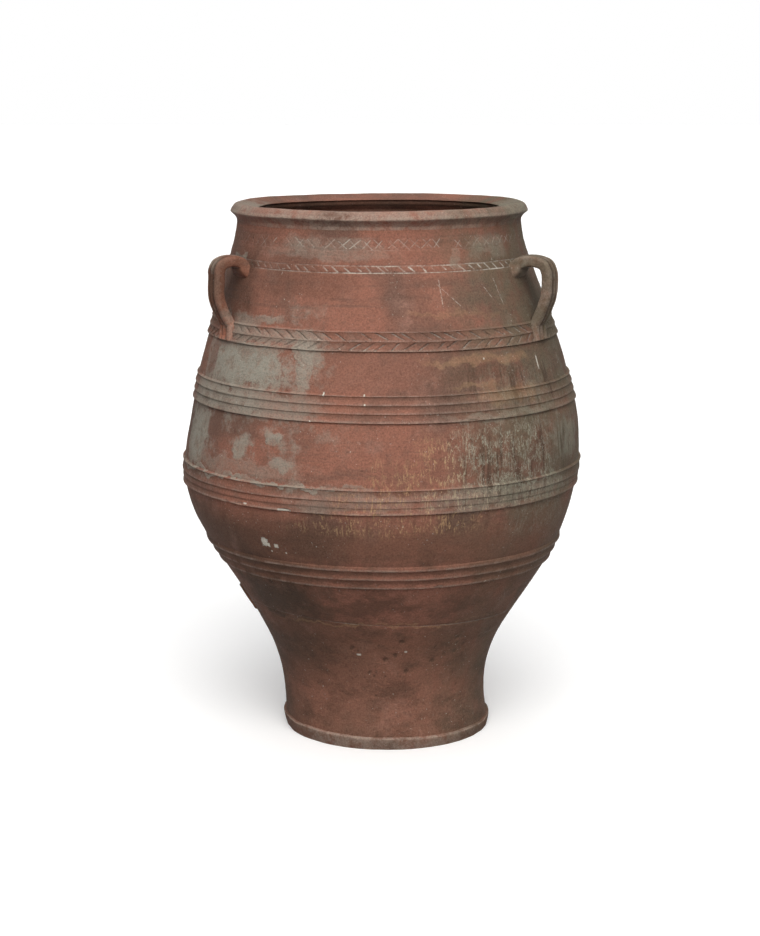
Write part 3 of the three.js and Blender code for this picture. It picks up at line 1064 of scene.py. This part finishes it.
# %% A material being filled in
class Finish:
    def __init__(self, name):
        self.material = bpy.data.materials.new(name)
        self.material.use_nodes = True
        self.tree = self.material.node_tree
        self.shader = self.tree.nodes["Principled BSDF"]

    def node(self, kind, settings, *values, output=0, **named):
        made = self.tree.nodes.new(kind)
        for key, value in settings.items():
            setattr(made, key, value)
        for key, value in [*enumerate(values), *named.items()]:
            if value is not None:
                self.feed(made.inputs[key], value)
        return Wire(self, made.outputs[output])

    def feed(self, socket, value):
        if isinstance(value, Wire):
            self.tree.links.new(value.socket, socket)
        elif isinstance(value, tuple) and socket.type == "RGBA":
            socket.default_value = (*value, 1)
        else:
            socket.default_value = value

    def colours(self, first, second, share, blend="MIX"):
        """Mixes two colours. In a Mix node the colour sockets are 6 and 7, and 2 is their output."""
        settings = {"data_type": "RGBA", "blend_type": blend}
        made = self.tree.nodes.new("ShaderNodeMix")
        for key, value in settings.items():
            setattr(made, key, value)
        for key, value in ((0, share), (6, first), (7, second)):
            self.feed(made.inputs[key], value)
        return Wire(self, made.outputs[2])

    def place(self):
        return self.node("ShaderNodeTexCoord", {}, output="Object")

    def axes(self, place):
        """The three parts of a vector."""
        parts = self.node("ShaderNodeSeparateXYZ", {}, place)
        return [Wire(self, socket) for socket in parts.socket.node.outputs]

    def stretched(self, place, x, y, z):
        return self.node("ShaderNodeVectorMath", {"operation": "MULTIPLY"}, place, (x, y, z))

    def clouds(self, place, scale, detail=4.0, rough=0.55, twist=0.0):
        """Soft noise between 0 and 1."""
        named = {"Scale": scale, "Detail": detail, "Roughness": rough, "Distortion": twist}
        return self.node("ShaderNodeTexNoise", {}, place, **named)

    def attribute(self, name):
        settings = {"attribute_type": "GEOMETRY", "attribute_name": name}
        return self.node("ShaderNodeAttribute", settings, output="Fac")


print("shader tools ready")

# %% [markdown]
# ## Where things are on the jar
#
# Weathering follows the jar, not space: lime runs down, grime gathers on one side. So the finish
# works with two plain numbers, the azimuth in degrees (0 at the front, growing to the right) and
# the height in millimetres. A spot is an ellipse on that chart whose edge is broken up by noise.


# %% A chart of the jar's skin
class Skin:
    """The clay's surface inside one material, with its azimuth, its height and useful noises."""

    def __init__(self, name):
        self.finish = Finish(name)
        self.place = self.finish.place()
        x, y, z = self.finish.axes(self.place)
        self.azimuth = x.math("ARCTAN2", -y) * math.degrees(1)
        self.height = z * 1000
        self.chart = self.finish.node("ShaderNodeCombineXYZ", {}, self.azimuth, self.height, 0.0)
        swirl = {"Vector": self.place, "Scale": 20, "Detail": 5, "Roughness": 0.6}
        swirl = self.finish.node("ShaderNodeTexNoise", {}, output=1, **swirl)
        vector = "ShaderNodeVectorMath"
        swirl = self.finish.node(vector, {"operation": "SUBTRACT"}, swirl, (0.5, 0.5, 0.5))
        swirl = self.finish.stretched(swirl, 14, 55, 0)
        self.bent_chart = self.finish.node(vector, {"operation": "ADD"}, self.chart, swirl)
        self.broad = self.finish.clouds(self.place, 7, detail=5)
        self.ragged = self.finish.clouds(self.place, 45, detail=8, rough=0.68)
        self.fine = self.finish.clouds(self.place, 300, detail=6, rough=0.75)
        self.ridge = self.finish.attribute("ridge")
        self.cut = self.finish.attribute("cut")

    def spot(self, azimuth, height, wide, tall, ragged=1.6, soft=0.5, bent=False, noise=None):
        """1 inside a rounded box with half sizes in degrees and mm, 0 outside."""
        vector = "ShaderNodeVectorMath"
        chart = self.bent_chart if bent else self.chart
        off = self.finish.node(vector, {"operation": "SUBTRACT"}, chart, (azimuth, height, 0))
        share = self.finish.stretched(off, 1 / wide, 1 / tall, 0)
        squared = self.finish.node(vector, {"operation": "MULTIPLY"}, share, share)
        distance = self.finish.node(vector, {"operation": "LENGTH"}, squared, output=1) ** 0.5
        edge = ((noise or self.ragged) - 0.5) * ragged
        return (distance + edge).above(1 + soft / 2, 1 - soft / 2)

    def spots(self, places, **edge):
        """The largest of several spots, each scaled by its own strength."""
        total = None
        for azimuth, height, wide, tall, strength in places:
            mask = self.spot(azimuth, height, wide, tall, **edge) * strength
            total = mask if total is None else total.larger(mask)
        return total

    def chart_noise(self, per_degree, per_mm, detail=4.0, rough=0.55, twist=0.0):
        """Noise on the chart, so that it can be drawn out up the wall or round it."""
        stretched = self.finish.stretched(self.chart, per_degree, per_mm, 1)
        return self.finish.clouds(stretched, 1, detail, rough, twist)

    def between(self, value, low, high, soft):
        return value.above(low - soft, low + soft) * value.above(high + soft, high - soft)


# %% [markdown]
# ## The fired clay
#
# Unglazed earthenware burns to a red-brown that is never even. Large clouds set the tone,
# middle-sized ones mottle it, and fine grain gives the sandy look. The lower body is a darker brown
# from standing in the earth. Dark spots go on top: some are stains, the ones at the left of the neck
# are the painted shadow of the left handle, and those near the right edge are painted shade on the
# side turned from the light. The far left and right edges are darkened with olive as painted shade.

# %% Clay colours
RED_CLAY = (0.285, 0.122, 0.083)
BROWN_CLAY = (0.150, 0.082, 0.060)
ROSE_CLAY = (0.330, 0.180, 0.135)
DARK_CLAY_AND_SHADE = (0.058, 0.035, 0.023)
OLIVE = (0.125, 0.105, 0.070)
EARTH = (0.165, 0.081, 0.052)
LIME = (0.345, 0.320, 0.262)
GREEN_LIME = (0.290, 0.285, 0.215)
PALE_GREEN = (0.360, 0.350, 0.270)
EDGE_SHADE_OLIVE = (0.070, 0.060, 0.040)
WHITE_LIME = (0.62, 0.58, 0.50)
OCHRE = (0.46, 0.285, 0.150)
DUST = (0.350, 0.265, 0.213)


def fired_clay(skin):
    f = skin.finish
    colour = f.colours(BROWN_CLAY, RED_CLAY, skin.broad.above(0.32, 0.60))
    middling = f.clouds(skin.place, 18, 8, 0.68)
    colour = f.colours(colour, ROSE_CLAY, middling.above(0.53, 0.72) * 0.55)
    colour = f.colours(colour, BROWN_CLAY, skin.ragged.above(0.50, 0.70) * 0.45)
    wiped = f.clouds(f.stretched(skin.place, 5, 5, 75), 1, 6, 0.6)
    colour = f.colours(colour, BROWN_CLAY, wiped.above(0.50, 0.68) * 0.55)
    low = skin.height.above(480, 430)
    colour = f.colours(colour, EARTH, low * 0.62)
    pale_foot = skin.between(skin.height, 35, 120, 25) * skin.broad.above(0.35, 0.65) * 0.35
    colour = f.colours(colour, RED_CLAY, pale_foot)
    # Dark spots: some are stains, the ones at the left of the neck are the painted shadow of the left handle,
    # and those near the right edge are painted shade.
    shade = skin.spots(
        [
            (-40, 300, 22, 40, 0.9),
            (-42, 368, 20, 26, 0.4),
            (-58, 405, 24, 50, 0.55),
            (-30, 430, 18, 36, 0.35),
            (-45, 190, 30, 60, 0.45),
            (-64, 860, 14, 70, 0.65),
            (38, 722, 17, 13, 0.5),
            (-28, 880, 18, 30, 0.3),
            (70, 840, 22, 130, 0.5),
            (66, 560, 16, 60, 0.4),
            (40, 590, 18, 50, 0.35),
            (60, 700, 16, 40, 0.45),
        ],
        ragged=1.6,
        soft=1.0,
        bent=True,
    )
    colour = f.colours(colour, DARK_CLAY_AND_SHADE, shade)
    warm = skin.spots(
        [(2, 318, 22, 62, 0.95), (-4, 120, 34, 50, 0.25), (-2, 722, 17, 34, 0.6)],
        ragged=1.6,
        soft=1.0,
        bent=True,
    )
    colour = f.colours(colour, RED_CLAY, warm)
    rubbed = f.clouds(f.stretched(skin.place, 16, 16, 9), 1, 8, 0.7).above(0.53, 0.68)
    colour = f.colours(colour, ROSE_CLAY, rubbed * low * 0.30)
    earth = f.clouds(f.stretched(skin.place, 9, 9, 14), 1, 8, 0.72).above(0.45, 0.64)
    colour = f.colours(colour, DARK_CLAY_AND_SHADE, earth * skin.height.above(480, 330) * 0.62)
    # Painted shade: the far left and right sides, turned from the front, are darkened with olive.
    right_edge_shade = skin.azimuth.above(36, 74) * skin.azimuth.above(150, 120)
    left_edge_shade = skin.azimuth.above(-58, -84) * skin.azimuth.above(-150, -120)
    return f.colours(colour, EDGE_SHADE_OLIVE, right_edge_shade.larger(left_edge_shade) * 0.35)


# %% [markdown]
# ## Grime, lime and drips
#
# Three deposits lie over the clay. Olive grime, the remains of moss, covers the right side. Lime
# is a hard pale crust from ground water: solid where water stood on the shoulder at the left, thin
# and patchy elsewhere. Drips ran down from the middle of the belly and left ochre threads.


# %% Deposits
def grime(skin):
    right = skin.azimuth.above(8, 46) * skin.azimuth.above(150, 120)
    patch = skin.chart_noise(0.09, 0.012, 6, 0.62).above(0.30, 0.62)
    upper = 0.35 + skin.height.above(400, 500) * 0.65
    return right * patch * upper * 0.8


LIME_PATCHES = [
    (-49, 724, 20.5, 39, 1.0),
    (-55, 664, 22, 26, 0.75),
    (-32, 664, 14, 20, 0.45),
    (-24, 737, 2.6, 46, 0.8),
    (-20, 752, 3.0, 14, 0.6),
    (-69, 584, 8, 50, 0.95),
    (-43, 584, 3.5, 22, 0.8),
    (-32, 611, 3.5, 9, 0.8),
    (-29, 562, 3.4, 11, 0.7),
    (-50, 548, 26, 14, 0.35),
    (-45, 527, 36, 4, 0.75),
    (-38, 778, 20, 16, 0.5),
    (-50, 797, 6, 16, 0.55),
    (-41, 810, 7, 7, 0.55),
    (-30, 940, 8, 18, 0.4),
    (-10, 943, 8, 12, 0.3),
    (-20, 930, 22, 14, 0.3),
    (-8, 503, 18, 18, 0.3),
    (29, 918, 2.2, 18, 0.35),
    (46, 932, 9, 18, 0.35),
    (66, 588, 8, 34, 0.5),
    (38, 507, 22, 20, 0.4),
    (40, 648, 20, 6, 0.3),
    (-82, 995, 26, 14, 0.6),
    (80, 993, 26, 14, 0.5),
    (168, 938, 6, 12, 0.45),
    (-172, 930, 12, 12, 0.25),
    (-66, 905, 5, 12, 0.6),
    (-120, 700, 30, 60, 0.8),
    (-150, 560, 25, 40, 0.6),
    (140, 640, 22, 50, 0.7),
]
BARE_HOLES = [(-67, 725, 3.0, 27, 0.6), (-57.5, 608, 3.5, 17, 0.9)]


def lime_crust(skin):
    holes = skin.spots(BARE_HOLES, ragged=1.0, soft=0.35)
    patches = skin.spots(LIME_PATCHES, ragged=2.2, soft=0.6, bent=True)
    mottle = skin.ragged.above(0.34, 0.56)
    left = skin.between(skin.azimuth, -80, -14, 12) * skin.between(skin.height, 505, 830, 25)
    thin = skin.finish.clouds(skin.place, 24, 8, 0.72)
    haze = left * thin.above(0.50, 0.70) * 0.55
    right = skin.between(skin.azimuth, 38, 80, 8) * skin.between(skin.height, 490, 940, 25)
    haze = haze.larger(right * thin.above(0.53, 0.72) * 0.35)
    return (patches * (0.50 + mottle * 0.50)).larger(haze) * (1 - holes)


OCHRE_PATCHES = [
    (34, 741, 18, 6, 0.28),
    (42, 682, 11, 14, 0.25),
    (26, 822, 16, 4, 0.15),
    (30, 700, 8, 4, 0.25),
    (0, 255, 40, 2, 0.3),
]


def drips(skin):
    """Wormy threads that ran down the wall: ochre in front, greenish to the right."""
    worms = abs(skin.chart_noise(0.85, 0.026, 3, 0.55, 1.0) - 0.5).above(0.034, 0.012)
    web = abs(skin.chart_noise(1.10, 0.060, 3, 0.60, 1.0) - 0.5).above(0.036, 0.012)
    broken = skin.finish.clouds(skin.place, 55, 4, 0.62).above(0.42, 0.50)
    front = skin.spots(
        [(17, 548, 7, 66, 1.0), (8, 515, 12, 60, 0.75), (4, 462, 26, 19, 0.8), (12, 500, 22, 26, 0.85)],
        ragged=1.0,
        soft=0.8,
    )
    right = skin.spots(
        [(38, 566, 18, 66, 1.0), (36, 506, 24, 20, 0.8), (44, 690, 16, 34, 0.3), (52, 450, 14, 30, 0.3)],
        ragged=1.0,
        soft=0.7,
    )
    smears = skin.spots(OCHRE_PATCHES, ragged=2.0, soft=0.8, bent=True)
    return (worms * broken * front).larger(smears), worms.larger(web * 0.7) * broken * right


def run_marks(skin):
    """Dark vertical streaks where water ran down the right side."""
    streaks = skin.chart_noise(0.5, 0.008, 5, 0.6, 0.3).above(0.50, 0.64)
    where = skin.spots([(45, 690, 20, 34, 0.8), (44, 560, 24, 66, 0.7), (10, 460, 30, 20, 0.3)], soft=1.0)
    return streaks * where


# %% [markdown]
# ## Marks
#
# Small things make the surface believable: a few knocked-off flakes that show white, long fine
# scratches, and a scatter of tiny lime specks. A scratch is a spot that is a hundred times longer
# than it is wide, drawn on a chart that leans with it.


# %% Small marks
def scratch(skin, start, end, width=0.24):
    """A thin pale line between two (azimuth, height) points; the width is in degrees."""
    (a0, z0), (a1, z1) = start, end
    lean = (a1 - a0) / (z1 - z0)
    wander = (skin.broad - 0.5) * 1.5
    across = abs(skin.azimuth - a0 - (skin.height - z0) * lean + wander)
    along = skin.between(skin.height, min(z0, z1), max(z0, z1), 5)
    return across.above(width * 1.2, width * 0.3) * along * skin.fine.above(0.40, 0.60)


SCRATCHES = [
    ((20.5, 872), (28, 834)),
    ((21, 883), (21.5, 834)),
    ((38, 869), (41.5, 844)),
    ((44, 879), (46, 834)),
]
FLAKES = [
    (-36, 416, 1.1, 7.5, 1.0),
    (-34.8, 411, 0.5, 4.0, 1.0),
    (-32, 411, 0.7, 3.5, 0.9),
    (-34.2, 399, 0.25, 1.6, 0.9),
    (-29, 399, 0.25, 1.6, 0.9),
    (-27, 484, 2.0, 1.8, 1.0),
    (-40, 486, 0.6, 1.5, 0.8),
    (-10, 190, 0.9, 2.0, 0.8),
    (12, 196, 0.6, 1.8, 0.7),
    (-16.5, 689, 0.22, 3.0, 1.0),
    (-4.5, 689, 0.2, 1.6, 1.0),
    (-4.3, 673, 0.22, 1.6, 1.0),
    (-20, 642, 0.25, 1.6, 1.0),
    (33, 744, 0.25, 1.8, 0.8),
    (55.6, 727, 0.32, 12, 0.85),
]


def marks(skin):
    flakes = skin.spots(FLAKES, ragged=2.4, soft=0.4, noise=skin.fine)
    lines = None
    for start, end in SCRATCHES:
        line = scratch(skin, start, end)
        lines = line if lines is None else lines.larger(line)
    specks = skin.finish.clouds(skin.place, 190, 4, 0.65).above(0.665, 0.70)
    near = skin.finish.clouds(skin.place, 11, 4, 0.6).above(0.38, 0.62)
    return flakes.larger(lines * 0.4).larger(specks * near * 0.6)


# %% [markdown]
# ## Putting the layers together
#
# The layers go on in the order they reached the jar: clay, wear, grime, lime, drips, marks. Wear
# and painted shade come from the two numbers stored on the mesh. Crests are rubbed pale and gather
# dust, hollows hold dirt and are darkened with painted shade, the drawn cuts on the neck are filled
# with pale lime, and the cuts are also darkened with painted shade.


# %% The clay material
def clay_material(
    name, tone=(1, 1, 1), crest_dust=0.5, fill=0.0, cut_shade=0.0, dusty=0.0, right_dust=0.0
):
    """How pale the crests are, how much lime fills the cuts, how much painted shade darkens the cuts, and where
    dust settled.
    """
    skin = Skin(name)
    f = skin.finish
    colour = fired_clay(skin)
    colour = f.colours(colour, tone, 1.0, "MULTIPLY")
    front = abs(skin.azimuth).above(80, 30) * skin.ragged.above(0.30, 0.62)
    colour = f.colours(colour, DUST, front * dusty)
    colour = f.colours(colour, DUST, skin.azimuth.above(30, 60) * skin.ragged.above(0.3, 0.6) * right_dust)
    crest = skin.ridge.above(0.25, 0.95) * skin.ragged.above(0.30, 0.60)
    colour = f.colours(colour, DUST, crest * crest_dust)
    # Hollows are darkened: partly dirt, partly painted shade in grooves, pits, under lips and inside the jar.
    hollow_dirt_and_shade = (skin.ridge * -1).above(0.05, 0.6)
    colour = f.colours(colour, DARK_CLAY_AND_SHADE, hollow_dirt_and_shade * 0.6)
    colour = f.colours(colour, OLIVE, grime(skin))
    crust = lime_crust(skin)
    lime = f.colours(LIME, GREEN_LIME, skin.azimuth.above(10, 40) * 0.8)
    lime = f.colours(lime, EARTH, skin.fine.above(0.50, 0.70) * 0.5)
    colour = f.colours(colour, lime, crust)
    colour = f.colours(colour, DARK_CLAY_AND_SHADE, run_marks(skin))
    ochre_threads, green_threads = drips(skin)
    colour = f.colours(colour, OCHRE, ochre_threads * 0.8)
    colour = f.colours(colour, PALE_GREEN, green_threads * 0.7)
    drawn = skin.cut.above(0.15, 0.8)
    # Painted shade: the cuts are darkened.
    colour = f.colours(colour, DARK_CLAY_AND_SHADE, drawn * cut_shade)
    lattice = skin.height.above(915, 925)
    chalk = (0.45 + skin.between(skin.azimuth, -18, 62, 12) * 0.55) * (1 - lattice * 0.5)
    chalk = chalk + lattice * skin.between(skin.azimuth, -52, -4, 8) * 0.4
    colour = f.colours(colour, WHITE_LIME, drawn * chalk * skin.ragged.above(0.34, 0.60) * fill)
    pores = f.clouds(skin.place, 260, 4, 0.7).above(0.37, 0.30)
    colour = f.colours(colour, DARK_CLAY_AND_SHADE, pores * 0.55)
    colour = f.colours(colour, WHITE_LIME, marks(skin))
    grain = 0.69 + skin.fine.above(0.28, 0.72) * 0.56
    colour = f.node("ShaderNodeVectorMath", {"operation": "SCALE"}, colour, Scale=grain)
    f.feed(f.shader.inputs["Base Color"], colour)
    f.feed(f.shader.inputs["Roughness"], 0.95 - skin.ragged * 0.25)
    f.shader.inputs["Specular IOR Level"].default_value = 0.2
    depth = skin.fine * 0.8 + skin.ragged * 1.2 + crust * (skin.ragged + skin.fine) * 0.8 - pores * 0.5
    bump = f.node("ShaderNodeBump", {}, Strength=0.8, Distance=0.002, Height=depth)
    f.feed(f.shader.inputs["Normal"], bump)
    return f.material


finishes = {
    "wall": clay_material("wall_clay", fill=0.8, cut_shade=0.1),
    "band": clay_material("band_clay", crest_dust=0.5, fill=0.3, cut_shade=0.4),
    "rim": clay_material("rim_clay", crest_dust=0.7, dusty=0.65),
    "handle": clay_material("handle_clay", (1.5, 1.3, 1.2), crest_dust=0.45, right_dust=0.9, cut_shade=0.85),
    "base": clay_material("base_clay", tone=(1.15, 1.1, 1.1), crest_dust=0.9, dusty=0.75),
}
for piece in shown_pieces():
    if "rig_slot" in piece:
        piece.data.materials.append(finishes[piece["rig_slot"]])
print({name: len(made.node_tree.nodes) for name, made in finishes.items()}, "nodes")

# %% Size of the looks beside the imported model
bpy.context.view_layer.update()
faces = sum(len(p.data.polygons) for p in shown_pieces())
print("faces in all:", faces)
